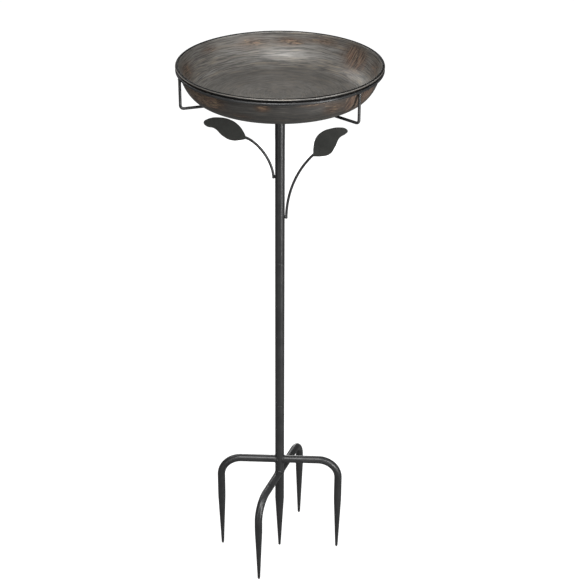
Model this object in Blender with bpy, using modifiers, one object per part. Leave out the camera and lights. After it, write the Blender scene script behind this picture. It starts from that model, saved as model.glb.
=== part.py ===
"""A dish for feeding or bathing birds, on a pole that is pushed into the ground.

The pole's axis is the world's Z axis, and the prongs' tips stand on Z = 0. The heights are stacked
from the ground: three lengths of pole, the socket on top of them, the arms, the dish and its rim.
"""

import math

import bmesh
import bpy

# Driving dimensions, in metres.
GAP = 0.0003  # between pieces that touch, slide or are welded

POLE_RADIUS = 0.0080
POLE_WALL = 0.0012
LOWER_LENGTH = 0.3100
MIDDLE_LENGTH = 0.2800
UPPER_LENGTH = 0.2868
SPIKE_LENGTH = 0.1080  # the lower pole's end, drawn down to a point
SPIKE_BORE_DEPTH = 0.0500  # how far the bore narrows into the spike
SPIKE_BORE_RADIUS = 0.0020  # where it closes
SLEEVE_WALL = 0.0012
SLEEVE_DEPTH = 0.0300  # of a joining sleeve in each of its two tubes

ROD_RADIUS = 0.0068
ROD_BEND = 0.0370
BACK_ROD_BEND = 0.0290  # the prong at the back is bent tighter
ROD_TAPER = 0.1120  # height at which a prong starts to taper
PRONG_REACH = 0.1058
HIGH_ROD_HEIGHT = 0.1932
ROD_STEP = 0.0289  # the second pair of prongs is welded this much lower
TIP_RADIUS = 0.0022
TIP_END_RADIUS = 0.0014
TIP_ROUNDING = 0.0010  # height over which a tip narrows from the one to the other

WIRE_RADIUS = 0.0023  # the holder's ring and arms
ARM_BEND = 0.0055
SOCKET_WALL = 0.0020
SOCKET_CAP = 0.0040
SOCKET_DEPTH = 0.0300
SOCKET_LIP = 0.0003  # of the socket above the arms
SOCKET_CHAMFER = 0.0008

BOWL_RADIUS = 0.1581  # outside the wall, under the bead
BOWL_DEPTH = 0.0515  # from the bead's centre to the underside
BOWL_SHEET = 0.0008
BOWL_FLOOR_RADIUS = 0.1020
BOWL_CLEARANCE = 0.0021  # of the underside above the arms
BEAD_RADIUS = 0.0029
WALL_SPREAD = 3.4  # the wall is a superellipse: this power outwards
WALL_RISE = 1.45  # and this one downwards

STEM_RADIUS = 0.0022
STEM_TAIL = 0.0140  # of the stem behind the leaf
LEAF_SHEET = 0.0015

# Turns about the pole, in degrees from +X, and for each prong the radius of its bend.
HIGH_PRONGS = {"right": (-2.5, ROD_BEND), "left": (177.5, ROD_BEND)}
LOW_PRONGS = {"front": (-110.2, ROD_BEND), "back": (69.8, BACK_ROD_BEND)}
ARM_TURNS = {"left": 197.4, "right": 318.0, "back": 78.0}

# A stem starts on the pole's side, at its drop below the pole's top, and is one cubic curve: it rises
# along the pole, leans out and ends behind its leaf. A leaf is one smooth outline that starts at its
# sharp foot. Both are measured outwards and upwards from the stem's root; side is -1 towards -X and 1
# towards +X.
STEMS = {
    "left": {
        "side": -1, "drop": 0.1349, "rise": 0.0258, "lean": (0.0205, 0.0597), "end": (0.0435, 0.0700),
    },
    "right": {
        "side": 1, "drop": 0.2066, "rise": 0.0400, "lean": (0.0128, 0.0845), "end": (0.0465, 0.1162),
    },
}
LEAVES = {
    "left": [
        (0.0425, 0.0697), (0.0471, 0.0812), (0.0549, 0.0927), (0.0680, 0.1019), (0.0865, 0.1058),
        (0.1033, 0.1033), (0.1105, 0.0973), (0.1065, 0.0910), (0.0940, 0.0872), (0.0805, 0.0741),
        (0.0665, 0.0667), (0.0535, 0.0670),
    ],
    "right": [
        (0.0429, 0.1114), (0.0427, 0.1264), (0.0467, 0.1432), (0.0564, 0.1538), (0.0699, 0.1593),
        (0.0844, 0.1612), (0.0940, 0.1592), (0.0973, 0.1547), (0.0942, 0.1504), (0.0853, 0.1442),
        (0.0777, 0.1279), (0.0693, 0.1153), (0.0559, 0.1114),
    ],
}

# Facets of the model.
BOWL_STEPS = 72
RING_STEPS = 72
RING_SIDES = 10
TUBE_STEPS = 32
ROD_BEVEL = 6
WIRE_BEVEL = 3
WALL_POINTS = 12
BEAD_POINTS = 10
BEND_POINTS = 7
STEM_POINTS = 16
LEAF_RESOLUTION = 5
AXIS_MERGE = 0.00001  # joins a turned profile's ends on the axis
SHARP_ANGLE = 40.0  # degrees, beyond which an edge is shaded sharp

# Heights and radii that follow from them.
BORE_RADIUS = POLE_RADIUS - POLE_WALL
MIDDLE_BOTTOM = LOWER_LENGTH + GAP
UPPER_BOTTOM = MIDDLE_BOTTOM + MIDDLE_LENGTH + GAP
POLE_TOP = UPPER_BOTTOM + UPPER_LENGTH
SOCKET_BORE = POLE_RADIUS + GAP
SOCKET_RADIUS = SOCKET_BORE + SOCKET_WALL
SOCKET_TOP = POLE_TOP + GAP + SOCKET_CAP
ARM_LEVEL = SOCKET_TOP - SOCKET_LIP - WIRE_RADIUS
BOWL_BOTTOM = ARM_LEVEL + WIRE_RADIUS + BOWL_CLEARANCE
BEAD_LEVEL = BOWL_BOTTOM + BOWL_DEPTH
BEAD_CENTRE_RADIUS = BOWL_RADIUS - BOWL_SHEET + BEAD_RADIUS
RING_RADIUS = BOWL_RADIUS + GAP + WIRE_RADIUS
RING_LEVEL = BEAD_LEVEL - BEAD_RADIUS - GAP - WIRE_RADIUS
STEM_ROOT_RADIUS = POLE_RADIUS + GAP + STEM_RADIUS


def clear_scene():
    for thing in list(bpy.data.objects):
        bpy.data.objects.remove(thing)


def new_collection(name):
    collection = bpy.data.collections.new(name)
    bpy.context.scene.collection.children.link(collection)
    return collection


def finish(name, colour, roughness, metallic):
    material = bpy.data.materials.new(name)
    material.use_nodes = True
    shader = material.node_tree.nodes["Principled BSDF"]
    shader.inputs["Base Color"].default_value = (*colour, 1.0)
    shader.inputs["Roughness"].default_value = roughness
    shader.inputs["Metallic"].default_value = metallic
    return material


def section(name, height):
    """An empty on the pole's axis, which carries the pieces that come away together."""
    empty = bpy.data.objects.new(name, None)
    empty.location.z = height
    parts.objects.link(empty)
    return empty


def add_piece(name, data, material, height=0.0, turn=0.0, carrier=None):
    """Places one piece on the pole's axis, at its height and turned about the axis by degrees."""
    piece = bpy.data.objects.new(name, data)
    piece.location.z = height - (carrier.location.z if carrier else 0.0)
    piece.rotation_euler.z = math.radians(turn)
    piece.parent = carrier
    data.materials.append(material)
    parts.objects.link(piece)
    return piece


def turned(name, profile, material, steps, height=0.0, carrier=None, closed=False):
    """A solid of revolution: the profile's (radius, height) points run down its outer side."""
    corners = [(radius, 0.0, z) for radius, z in profile]
    edges = [(i, i + 1) for i in range(len(corners) - 1)]
    if closed:
        edges.append((len(corners) - 1, 0))
    mesh = bpy.data.meshes.new(name)
    mesh.from_pydata(corners, edges, [])
    piece = add_piece(name, mesh, material, height, carrier=carrier)
    screw = piece.modifiers.new("turn", "SCREW")
    screw.steps = steps
    screw.render_steps = steps
    screw.use_smooth_shade = True
    screw.use_merge_vertices = not closed
    screw.merge_threshold = AXIS_MERGE
    return piece


def tube_profile(outer, inner, bottom, top):
    return [(outer, top), (outer, bottom), (inner, bottom), (inner, top)]


def wire_curve(name, points, radius, bevel, shares=None):
    """A round wire along (outwards, up) points in the XZ plane; shares scales its radius at each point."""
    curve = bpy.data.curves.new(name, "CURVE")
    curve.dimensions = "3D"
    curve.bevel_depth = radius
    curve.bevel_resolution = bevel
    curve.use_fill_caps = True
    spline = curve.splines.new("POLY")
    spline.points.add(len(points) - 1)
    for i, (out, up) in enumerate(points):
        spline.points[i].co = (out, 0.0, up, 1.0)
        spline.points[i].radius = shares[i] if shares else 1.0
    return curve


def quarter_bend(reach, level, radius, way):
    """The points of a bend from a level run to an upright at that reach; way is 1 to turn up, -1 down."""
    angles = [math.radians(90.0 * i / BEND_POINTS) for i in range(BEND_POINTS + 1)]
    return [
        (reach - radius + radius * math.sin(a), level + way * (radius - radius * math.cos(a)))
        for a in angles
    ]


def as_mesh(piece):
    """The curve's evaluated mesh in its place, with the caps welded on, ready for a Boolean."""
    graph = bpy.context.evaluated_depsgraph_get()
    mesh = bpy.data.meshes.new_from_object(piece.evaluated_get(graph))
    shape = bmesh.new()
    shape.from_mesh(mesh)
    bmesh.ops.remove_doubles(shape, verts=shape.verts, dist=AXIS_MERGE)
    bmesh.ops.recalc_face_normals(shape, faces=shape.faces)
    shape.to_mesh(mesh)
    shape.free()
    name, curve = piece.name, piece.data
    made = bpy.data.objects.new(name, mesh)
    made.matrix_world = piece.matrix_world
    parts.objects.link(made)
    bpy.data.objects.remove(piece)
    bpy.data.curves.remove(curve)
    made.name = name
    mesh.shade_smooth()
    mesh.set_sharp_from_angle(angle=math.radians(SHARP_ANGLE))
    return made


def pole_cutter():
    """The room that the lower pole takes out of the rods that are welded to it."""
    shape = bmesh.new()
    room = POLE_RADIUS + GAP
    bmesh.ops.create_cone(
        shape, cap_ends=True, segments=2 * TUBE_STEPS, radius1=room, radius2=room, depth=LOWER_LENGTH
    )
    mesh = bpy.data.meshes.new("pole_room")
    shape.to_mesh(mesh)
    shape.free()
    cutter = bpy.data.objects.new("pole_room", mesh)
    cutter.location.z = LOWER_LENGTH / 2
    cutter.hide_render = True
    cutter.display_type = "WIRE"
    cutters.objects.link(cutter)
    return cutter


def make_lower_pole():
    """A tube whose lower end is drawn down to a closed point, so that its bore narrows to a cone."""
    profile = [
        (0.0, SPIKE_LENGTH - SPIKE_BORE_DEPTH),
        (SPIKE_BORE_RADIUS, SPIKE_LENGTH - SPIKE_BORE_DEPTH),
        (BORE_RADIUS, SPIKE_LENGTH),
        (BORE_RADIUS, LOWER_LENGTH),
        (POLE_RADIUS, LOWER_LENGTH),
        (POLE_RADIUS, SPIKE_LENGTH),
        (TIP_RADIUS, TIP_ROUNDING),
        (TIP_END_RADIUS, 0.0),
        (0.0, 0.0),
    ]
    turned("lower_pole", profile, black, TUBE_STEPS)


def make_tube(name, bottom, length, carrier):
    profile = tube_profile(POLE_RADIUS, BORE_RADIUS, 0.0, length)
    turned(name, profile, black, TUBE_STEPS, height=bottom, carrier=carrier, closed=True)


def make_sleeve(name, seam, carrier=None):
    """A short tube fixed in the lower tube's mouth, over which the next tube slides."""
    outer = BORE_RADIUS - GAP
    profile = tube_profile(outer, outer - SLEEVE_WALL, -SLEEVE_DEPTH, SLEEVE_DEPTH)
    turned(name, profile, bare_steel, TUBE_STEPS, height=seam, carrier=carrier, closed=True)


def make_prong(side, turn, level, bend_radius, cutter):
    """A rod that leaves the pole level, bends down and tapers to a blunt tip, coped round the pole."""
    bend = quarter_bend(PRONG_REACH, level, bend_radius, -1)
    leg = [(PRONG_REACH, height) for height in (ROD_TAPER, TIP_ROUNDING, 0.0)]
    points = [(0.0, level), *bend, *leg]
    radii = [ROD_RADIUS] * (len(points) - 2) + [TIP_RADIUS, TIP_END_RADIUS]
    shares = [radius / ROD_RADIUS for radius in radii]
    curve = wire_curve("prong_" + side, points, ROD_RADIUS, ROD_BEVEL, shares)
    rod = as_mesh(add_piece("prong_" + side, curve, black, turn=turn))
    cope = rod.modifiers.new("cope", "BOOLEAN")
    cope.operation = "DIFFERENCE"
    cope.object = cutter


def make_socket(carrier):
    """A capped sleeve that drops over the pole's top and carries the arms."""
    bottom = POLE_TOP - SOCKET_DEPTH
    profile = [
        (0.0, SOCKET_TOP),
        (SOCKET_RADIUS - SOCKET_CHAMFER, SOCKET_TOP),
        (SOCKET_RADIUS, SOCKET_TOP - SOCKET_CHAMFER),
        (SOCKET_RADIUS, bottom + SOCKET_CHAMFER),
        (SOCKET_RADIUS - SOCKET_CHAMFER, bottom),
        (SOCKET_BORE, bottom),
        (SOCKET_BORE, POLE_TOP + GAP),
        (0.0, POLE_TOP + GAP),
    ]
    profile = [(radius, z - POLE_TOP) for radius, z in profile]
    turned("holder_socket", profile, black, TUBE_STEPS, height=POLE_TOP, carrier=carrier)


def make_arm(side, turn, carrier):
    """A wire from the socket's side, out under the dish and up to the ring."""
    rise = RING_LEVEL - WIRE_RADIUS - GAP - ARM_LEVEL
    points = [(SOCKET_RADIUS + GAP, 0.0), *quarter_bend(RING_RADIUS, 0.0, ARM_BEND, 1), (RING_RADIUS, rise)]
    curve = wire_curve("holder_arm_" + side, points, WIRE_RADIUS, WIRE_BEVEL)
    add_piece("holder_arm_" + side, curve, black, height=ARM_LEVEL, turn=turn, carrier=carrier)


def make_ring(carrier):
    bpy.ops.mesh.primitive_torus_add(
        major_radius=RING_RADIUS,
        minor_radius=WIRE_RADIUS,
        major_segments=RING_STEPS,
        minor_segments=RING_SIDES,
    )
    torus = bpy.context.object
    mesh = torus.data
    bpy.data.objects.remove(torus)
    mesh.shade_smooth()
    add_piece("holder_ring", mesh, black, height=RING_LEVEL, carrier=carrier)


def wall_points(floor_radius, top_radius, bottom, top):
    """The wall from its floor's edge up to the rim, along a superellipse."""
    points = []
    for i in range(WALL_POINTS + 1):
        angle = math.radians(90.0 * i / WALL_POINTS)
        out = math.sin(angle) ** (2.0 / WALL_SPREAD)
        down = max(math.cos(angle), 0.0) ** (2.0 / WALL_RISE)
        points.append((floor_radius + (top_radius - floor_radius) * out, top - (top - bottom) * down))
    return points


def make_bowl(carrier):
    """A spun dish whose edge is rolled outwards into a bead round a wire, so the bead is solid.

    The wall's outside meets the bead a little inside the bead's centre, at last_angle round it.
    """
    wall_inset = BEAD_CENTRE_RADIUS - BOWL_RADIUS
    last_angle = -math.acos(-wall_inset / BEAD_RADIUS)
    wall_top = BOWL_DEPTH + BEAD_RADIUS * math.sin(last_angle)
    inside = wall_points(BOWL_FLOOR_RADIUS, BOWL_RADIUS - BOWL_SHEET, BOWL_SHEET, wall_top)
    outside = wall_points(BOWL_FLOOR_RADIUS, BOWL_RADIUS, 0.0, wall_top)
    angles = [math.pi + (last_angle - math.pi) * i / BEAD_POINTS for i in range(BEAD_POINTS)]
    bead = [
        (BEAD_CENTRE_RADIUS + BEAD_RADIUS * math.cos(a), BOWL_DEPTH + BEAD_RADIUS * math.sin(a))
        for a in angles
    ]
    profile = [(0.0, BOWL_SHEET), *inside, *bead, *reversed(outside), (0.0, 0.0)]
    turned("bowl", profile, bronze, BOWL_STEPS, height=BOWL_BOTTOM, carrier=carrier)


def cubic(ends, share):
    """The point at that share of the way along a cubic curve."""
    rest = 1.0 - share
    weights = (rest**3, 3 * rest**2 * share, 3 * rest * share**2, share**3)
    return tuple(sum(w * end[k] for w, end in zip(weights, ends)) for k in (0, 1))


def make_stem(name, carrier):
    """A wire that leaves the pole's side along it, curves out and runs on straight behind its leaf."""
    stem = STEMS[name]
    ends = [(0.0, 0.0), (0.0, stem["rise"]), stem["lean"], stem["end"]]
    points = [cubic(ends, i / STEM_POINTS) for i in range(STEM_POINTS + 1)]
    (out, up), (last_out, last_up) = ends[-2:]
    tail = STEM_TAIL / math.hypot(last_out - out, last_up - up)
    points.append((last_out + tail * (last_out - out), last_up + tail * (last_up - up)))
    points = [(stem["side"] * (STEM_ROOT_RADIUS + out), up) for out, up in points]
    curve = wire_curve("leaf_stem_" + name, points, STEM_RADIUS, WIRE_BEVEL)
    add_piece("leaf_stem_" + name, curve, black, height=POLE_TOP - stem["drop"], carrier=carrier)


def make_leaf(name, carrier):
    """A flat plate cut to a leaf's outline, in front of its stem."""
    stem = STEMS[name]
    outline = LEAVES[name]
    curve = bpy.data.curves.new("leaf_" + name, "CURVE")
    curve.dimensions = "2D"
    curve.fill_mode = "BOTH"
    curve.extrude = LEAF_SHEET / 2
    curve.resolution_u = LEAF_RESOLUTION
    spline = curve.splines.new("BEZIER")
    spline.use_cyclic_u = True
    spline.bezier_points.add(len(outline) - 1)
    for point, (out, up) in zip(spline.bezier_points, outline):
        point.co = (stem["side"] * (STEM_ROOT_RADIUS + out), up, 0.0)
        point.handle_left_type = "AUTO"
        point.handle_right_type = "AUTO"
    foot = spline.bezier_points[0]
    foot.handle_left_type = "VECTOR"
    foot.handle_right_type = "VECTOR"
    leaf = add_piece("leaf_" + name, curve, leaf_black, height=POLE_TOP - stem["drop"], carrier=carrier)
    leaf.location.y = -(STEM_RADIUS + GAP + LEAF_SHEET / 2)
    leaf.rotation_euler.x = math.radians(90.0)


clear_scene()
parts = new_collection("bird_feeder_on_pole")
cutters = new_collection("cutters")
black = finish("black_powder_coat", (0.022, 0.022, 0.023), 0.45, 0.0)
leaf_black = finish("leaf_powder_coat", (0.034, 0.035, 0.028), 0.6, 0.0)
bronze = finish("brushed_bronze_enamel", (0.062, 0.052, 0.042), 0.42, 0.5)
bare_steel = finish("plain_steel", (0.35, 0.35, 0.36), 0.4, 1.0)

make_lower_pole()
make_sleeve("lower_joint_sleeve", LOWER_LENGTH)
rod_cutter = pole_cutter()
for prong_side, (prong_turn, prong_bend) in HIGH_PRONGS.items():
    make_prong(prong_side, prong_turn, HIGH_ROD_HEIGHT, prong_bend, rod_cutter)
for prong_side, (prong_turn, prong_bend) in LOW_PRONGS.items():
    make_prong(prong_side, prong_turn, HIGH_ROD_HEIGHT - ROD_STEP, prong_bend, rod_cutter)

middle_section = section("middle_section", MIDDLE_BOTTOM)
make_tube("middle_pole", MIDDLE_BOTTOM, MIDDLE_LENGTH, middle_section)
make_sleeve("upper_joint_sleeve", MIDDLE_BOTTOM + MIDDLE_LENGTH, middle_section)

upper_section = section("upper_section", UPPER_BOTTOM)
make_tube("upper_pole", UPPER_BOTTOM, UPPER_LENGTH, upper_section)
for leaf_name in STEMS:
    make_stem(leaf_name, upper_section)
    make_leaf(leaf_name, upper_section)

holder = section("holder", POLE_TOP)
make_socket(holder)
make_ring(holder)
for arm_side, arm_turn in ARM_TURNS.items():
    make_arm(arm_side, arm_turn, holder)

dish = section("dish", BOWL_BOTTOM)
make_bowl(dish)
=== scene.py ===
"""A dish for feeding or bathing birds, held in a wire ring on a pole with two leaves and a pronged foot.

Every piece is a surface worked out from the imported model's sizes, in metres, with its place in its mesh.
"""

import math

import bmesh
import bpy
import numpy as np
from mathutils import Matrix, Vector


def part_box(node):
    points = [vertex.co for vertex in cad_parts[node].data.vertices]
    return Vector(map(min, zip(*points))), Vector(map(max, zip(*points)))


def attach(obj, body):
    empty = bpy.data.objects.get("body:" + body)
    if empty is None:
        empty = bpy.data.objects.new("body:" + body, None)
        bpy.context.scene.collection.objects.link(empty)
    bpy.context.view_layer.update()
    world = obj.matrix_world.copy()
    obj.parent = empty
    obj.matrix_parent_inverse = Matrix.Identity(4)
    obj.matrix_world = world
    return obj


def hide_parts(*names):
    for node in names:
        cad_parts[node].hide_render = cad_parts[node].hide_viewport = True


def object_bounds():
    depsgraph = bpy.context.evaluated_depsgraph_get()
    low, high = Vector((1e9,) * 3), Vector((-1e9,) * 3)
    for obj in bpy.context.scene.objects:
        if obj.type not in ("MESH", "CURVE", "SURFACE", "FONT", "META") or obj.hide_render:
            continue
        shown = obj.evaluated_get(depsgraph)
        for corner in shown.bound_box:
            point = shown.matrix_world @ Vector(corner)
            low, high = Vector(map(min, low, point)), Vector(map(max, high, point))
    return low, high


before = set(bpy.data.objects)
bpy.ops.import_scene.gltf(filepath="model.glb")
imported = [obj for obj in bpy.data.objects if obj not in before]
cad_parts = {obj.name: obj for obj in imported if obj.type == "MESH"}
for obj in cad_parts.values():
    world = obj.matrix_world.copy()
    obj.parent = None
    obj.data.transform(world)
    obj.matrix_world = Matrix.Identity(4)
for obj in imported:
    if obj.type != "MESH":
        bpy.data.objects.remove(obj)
cad_low, cad_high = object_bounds()


# ---- Lower pole --------------------------------------------------------------------------------------
# The bottom length of steel tube, its end drawn down to a closed point that goes into the ground.
# The prongs are welded to it, and all of it is powder coated black in one go.

def skin(name, grid, body, slot, material, nodes=(), ring=False, **values):
    """One closed piece over a grid of points: each row is a loop round the piece, joined to the next row.

    The last row is joined to the first for a ring; otherwise one flat face closes each of the two. Each of
    the values is stored at the points for the material: a number, one for each row, or one for each point.
    """
    rows, columns = grid.shape[:2]
    here = np.arange(rows * columns).reshape(rows, columns)
    caps = [] if ring else [here[0, ::-1].tolist(), here[-1].tolist()]
    if ring:
        here = np.vstack([here, here[:1]])
    after = np.roll(here, -1, axis=1)
    quads = np.stack([here[:-1], after[:-1], after[1:], here[1:]], axis=-1).reshape(-1, 4)
    mesh = bpy.data.meshes.new(name)
    mesh.from_pydata(grid.reshape(-1, 3).tolist(), [], quads.tolist() + caps)
    shape = bmesh.new()
    shape.from_mesh(mesh)
    bmesh.ops.recalc_face_normals(shape, faces=shape.faces)
    shape.to_mesh(mesh)
    shape.free()
    mesh.shade_smooth()
    mesh.materials.append(material)
    for label, value in values.items():
        value = np.asarray(value, np.float32)
        value = value[:, None] if value.ndim == 1 else value
        stored_values = mesh.attributes.new(label, "FLOAT", "POINT").data
        stored_values.foreach_set("value", np.broadcast_to(value, (rows, columns)).ravel())
    piece = bpy.data.objects.new(name, mesh)
    bpy.context.scene.collection.objects.link(piece)
    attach(piece, body)
    if nodes:
        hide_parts(*nodes)


def turned(profile, columns=96):
    """The (radius, height) points of a profile, each carried round the pole's axis: r cos a, r sin a, z."""
    radius, height = np.asarray(profile, float).T
    angle = np.linspace(0.0, 2.0 * np.pi, columns, endpoint=False)
    x = np.outer(radius, np.cos(angle))
    y = np.outer(radius, np.sin(angle))
    return np.stack([x, y, np.outer(height, np.ones(columns))], axis=-1)


def eased(corners, reach, closed=False, steps=5):
    """Rounds an outline's corners: each becomes a parabola from reach before it to reach after it.

    A point of it is (1 - t)^2 before + 2 t (1 - t) corner + t^2 after. The ends of an open outline stay.
    """
    corners = np.asarray(corners, float)
    back = np.roll(corners, 1, axis=0) - corners
    ahead = np.roll(corners, -1, axis=0) - corners
    before = corners + reach * back / np.linalg.norm(back, axis=1, keepdims=True)
    beyond = corners + reach * ahead / np.linalg.norm(ahead, axis=1, keepdims=True)
    t = np.linspace(0.0, 1.0, steps)[None, :, None]
    arcs = (1 - t) ** 2 * before[:, None] + 2 * t * (1 - t) * corners[:, None] + t**2 * beyond[:, None]
    if closed:
        return arcs.reshape(-1, 2)
    return np.vstack([corners[:1], arcs[1:-1].reshape(-1, 2), corners[-1:]])


def with_rows(profile, spacing):
    """Adds points along the long sides of a profile, so that values can change along them."""
    profile = np.asarray(profile, float)
    lengths = np.linalg.norm(np.diff(profile, axis=0), axis=1)
    steps = np.maximum(np.ceil(lengths / spacing), 1).astype(int)
    sides = [a + (b - a) * np.arange(n)[:, None] / n for a, b, n in zip(profile[:-1], profile[1:], steps)]
    return np.vstack([*sides, profile[-1:]])


def connect(tree, made, inputs):
    """Gives a shader node its inputs: a socket is linked, and anything else is set on the node's own one."""
    for name, value in inputs.items():
        if isinstance(value, bpy.types.NodeSocket):
            tree.links.new(value, made.inputs[name])
        else:
            made.inputs[name].default_value = value


def node(tree, kind, inputs=None, **settings):
    """Adds a shader node with its settings and inputs."""
    made = tree.nodes.new("ShaderNode" + kind)
    for name, value in settings.items():
        setattr(made, name, value)
    connect(tree, made, inputs or {})
    return made


def noise(tree, where, scale, detail=2.0, roughness=0.5):
    inputs = {"Vector": where, "Scale": scale, "Detail": detail, "Roughness": roughness}
    return node(tree, "TexNoise", inputs).outputs["Fac"]


def math_node(tree, operation, a, b=0.0, c=0.0):
    return node(tree, "Math", {0: a, 1: b, 2: c}, operation=operation).outputs[0]


def ramp(tree, value, low, high, to_low=0.0, to_high=1.0):
    """Runs smoothly from to_low to to_high as the value goes from low to high, and stays there beyond."""
    inputs = {"Value": value, "From Min": low, "From Max": high, "To Min": to_low, "To Max": to_high}
    return node(tree, "MapRange", inputs, interpolation_type="SMOOTHSTEP").outputs["Result"]


def blend(tree, share, a, b):
    """A colour between a and b, each of them a socket or its red, green and blue."""
    a, b = (colour if isinstance(colour, bpy.types.NodeSocket) else (*colour, 1.0) for colour in (a, b))
    return node(tree, "Mix", {0: share, 6: a, 7: b}, data_type="RGBA").outputs[2]


def stored(tree, name):
    """A value that skin() stored at the points."""
    return node(tree, "Attribute", attribute_name=name).outputs["Fac"]


def new_group(name, inputs, outputs):
    """An empty node group, its inputs and its output node. Each socket is a number, but for a Vector."""
    group = bpy.data.node_groups.new(name, "ShaderNodeTree")
    for way, labels in (("INPUT", inputs), ("OUTPUT", outputs)):
        for label in labels:
            kind = "NodeSocketVector" if label == "Vector" else "NodeSocketFloat"
            group.interface.new_socket(label, in_out=way, socket_type=kind)
    return group, group.nodes.new("NodeGroupInput").outputs, group.nodes.new("NodeGroupOutput")


def new_material(name):
    """An empty material, its node tree and its shader."""
    material = bpy.data.materials.new(name)
    material.use_nodes = True
    return material, material.node_tree, material.node_tree.nodes["Principled BSDF"]


GRAIN_FINER = 4.5  # how many times finer than the peel the film's grain is
DRIFT_COARSER = 0.16  # and how much coarser than its patches it drifts
NIBS = 430.0  # specks in the film, in a metre
SCUFFS = 310.0  # and ragged edges of worn places


def powder_film_group():
    """The skin that powder paint bakes to: Height is its orange peel and few nibs, Cloud its slow unevenness
    from 0 to 1, and Worn where it is rubbed thin, from Rub. Peel and Patches are how many fit in a metre."""
    group, given, leave = new_group("powder_film", ("Rub", "Peel", "Patches"), ("Height", "Cloud", "Worn"))
    where = node(group, "TexCoord").outputs["Object"]
    peel = noise(group, where, given["Peel"], 2.0)
    grain = noise(group, where, math_node(group, "MULTIPLY", given["Peel"], GRAIN_FINER), 1.0)
    slow = noise(group, where, given["Patches"], 4.0, 0.6)
    drift = noise(group, where, math_node(group, "MULTIPLY", given["Patches"], DRIFT_COARSER), 2.0)
    nib = ramp(group, noise(group, where, NIBS, 0.0), 0.76, 0.82)
    scuff = noise(group, where, SCUFFS, 4.0, 0.7)
    worn = ramp(group, math_node(group, "MULTIPLY_ADD", given["Rub"], 0.62, scuff), 0.86, 1.04)
    cloud = ramp(group, math_node(group, "MULTIPLY_ADD", drift, 0.8, slow), 0.55, 1.25)
    height = math_node(group, "MULTIPLY_ADD", grain, 0.3, peel)
    height = math_node(group, "MULTIPLY_ADD", nib, 0.35, height)
    connect(group, leave, {"Height": height, "Cloud": cloud, "Worn": worn})
    return group


COAT_RELIEF = 0.00003
COAT_IOR = 1.48


def powder_coat(name, deep, pale, rubbed, roughness, peel=620.0, patches=70.0):
    """A powder coated surface: its colour runs from deep to pale with the film, and to rubbed where worn."""
    material, tree, shader = new_material(name)
    inputs = {"Peel": peel, "Patches": patches, "Rub": stored(tree, "rub")}
    film = node(tree, "Group", inputs, node_tree=powder_film).outputs
    colour = blend(tree, film["Worn"], blend(tree, film["Cloud"], deep, pale), rubbed)
    gloss = ramp(tree, film["Cloud"], 0.0, 1.0, roughness - 0.05, roughness + 0.07)
    gloss = math_node(tree, "MULTIPLY_ADD", film["Worn"], -0.06, gloss)
    bump = node(tree, "Bump", {"Height": film["Height"], "Distance": COAT_RELIEF, "Strength": 1.0})
    surface = {"Base Color": colour, "Roughness": gloss, "Normal": bump.outputs["Normal"], "IOR": COAT_IOR}
    connect(tree, shader, surface)
    return material


powder_film = powder_film_group()
black_coat = powder_coat(
    "black_coat",
    deep=(0.0145, 0.0148, 0.0152),
    pale=(0.022, 0.022, 0.0225),
    rubbed=(0.075, 0.073, 0.07),
    roughness=0.37,
)

TUBE_WALL = 0.0012
EDGE_EASE = 0.0005  # how far each edge of the tubes is rounded
SPIKE_LENGTH = 0.1080  # the drawn down end
SPIKE_BORE_DEPTH = 0.0500  # how far the bore narrows into it
SPIKE_BORE_RADIUS = 0.0020
SPIKE_EASE = 0.0003
SPIKE_ROWS = 0.004  # longest distance between the rows of its mesh
TIP_RADIUS = 0.0022
TIP_FLAT = 0.0015  # radius of the tip's very end
TIP_ROUNDING = 0.0012  # height over which it widens to the tip's radius
OUTER_CAP = 0.0006  # radius of the small flat face that closes a turned piece on its axis
BORE_CAP = 0.0005
POINT_RUB = 0.85  # how much the ground wears the paint, and over what height
POINT_RUB_HEIGHT = 0.012
CUT_RUB = 0.5  # and the same for the edge at the joint
CUT_RUB_HEIGHT = 0.0006

lower_low, lower_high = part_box("lower_pole")
tube_radius = lower_high.x
bore_radius = tube_radius - TUBE_WALL
spike_top = lower_low.z + SPIKE_LENGTH
profile = eased(
    [
        (OUTER_CAP, lower_low.z),
        (TIP_FLAT, lower_low.z),
        (TIP_RADIUS, lower_low.z + TIP_ROUNDING),
        (tube_radius, spike_top),
        (tube_radius, lower_high.z),
        (bore_radius, lower_high.z),
        (bore_radius, spike_top),
        (SPIKE_BORE_RADIUS, spike_top - SPIKE_BORE_DEPTH),
        (BORE_CAP, spike_top - SPIKE_BORE_DEPTH),
    ],
    SPIKE_EASE,
)
profile = with_rows(profile, SPIKE_ROWS)
rub = POINT_RUB * np.exp(-(profile[:, 1] - lower_low.z) / POINT_RUB_HEIGHT)
rub = rub + CUT_RUB * np.exp(-np.abs(lower_high.z - profile[:, 1]) / CUT_RUB_HEIGHT)
skin("pole_lower", turned(profile), "ground_stake", "black_powder_coat", black_coat, ["lower_pole"], rub=rub)


# ---- Prongs ------------------------------------------------------------------------------------------
# Four bent steel rods, drawn to blunt points, that stand in the ground round the pole's own point.
# Each is coped to fit against the pole and fillet welded there before the whole foot is coated.

ROD_RADIUS = 0.0068
ROD_BEND = 0.0370
BACK_ROD_BEND = 0.0290
ROD_TAPER = 0.1120  # height at which a prong starts to taper
TAPER_EASE = 0.006  # how far above and below that it eases into its taper
PRONG_REACH = 0.1058
FIT = 0.0003  # between pieces that touch
PRONG_RUB_HEIGHT = 0.014
PRONG_WELD = 0.0010  # radius of the bead's section
PRONG_WELD_RIPPLES = 17
PRONG_WELD_RUB = 0.12
PRONG_STARTS = 0.9  # how far one weld's ripples are turned from the next one's
RIPPLE_HEIGHT = 0.16  # of a weld's swellings, as a share of its size
UNEVENNESS = 0.10

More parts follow.
